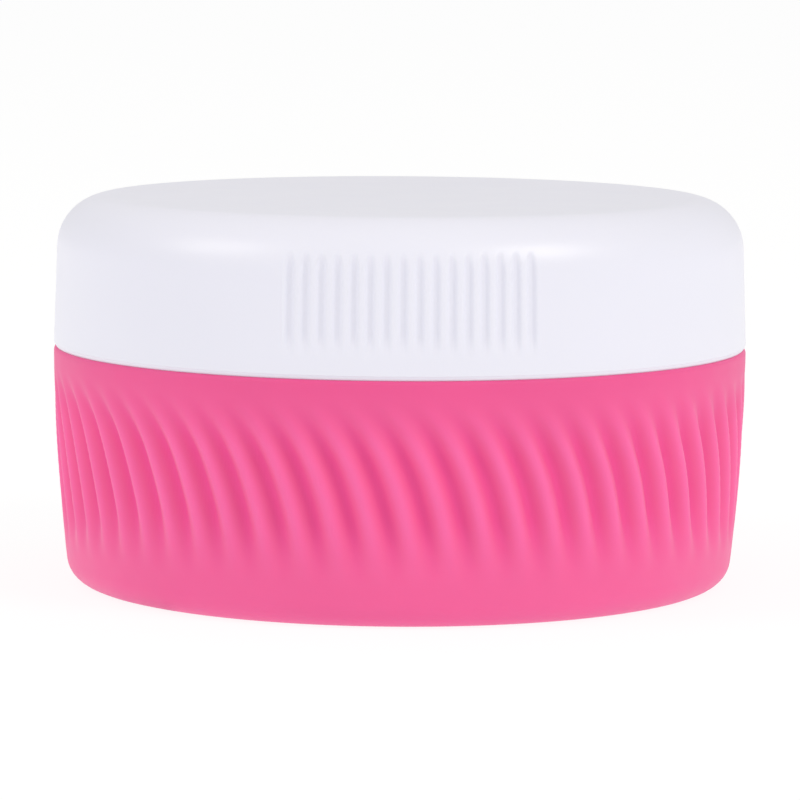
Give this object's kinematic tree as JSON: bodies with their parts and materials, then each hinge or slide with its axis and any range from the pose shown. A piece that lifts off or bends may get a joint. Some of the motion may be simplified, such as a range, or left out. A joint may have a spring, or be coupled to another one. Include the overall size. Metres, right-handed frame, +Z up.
{
  "type": "travel jar",
  "caption": "Low round travel jar: soft silicone cup with leaning grooves, rigid threaded neck, sealing ring and a white screw lid with finger flutes.",
  "frame": {"origin": "centre of the underside, on the surface that the jar stands on", "axes": "+Z up through the lid; -Y towards the pictured front, where one group of finger flutes is; +X to the right of that front"},
  "size_m": [0.053, 0.053, 0.0296],
  "materials": {
    "soft_silicone": "soft matt silicone",
    "neck_plastic": "satin moulded polypropylene",
    "seal_silicone": "smooth translucent silicone",
    "lid_plastic": "satin moulded polypropylene"
  },
  "bodies": {
    "jar": {"silicone_body": "soft_silicone", "neck_ring": "neck_plastic"},
    "seal": {"lid_gasket": "seal_silicone"},
    "lid": {"lid": "lid_plastic"}
  },
  "joints": [
    {"name": "lid_rise", "type": "slide", "parent": "jar", "child": "seal", "axis": [0, 0, 1], "range_m": [0, 0.009]},
    {"name": "lid_turn", "type": "hinge", "parent": "seal", "child": "lid", "pos_m": [0, 0, 0.0236], "axis": [0, 0, 1], "range_deg": [0, 540]}
  ],
  "couplings": [
    {"joint": "lid_rise", "follows": "lid_turn", "m_per_rad": 0.0009549}
  ]
}
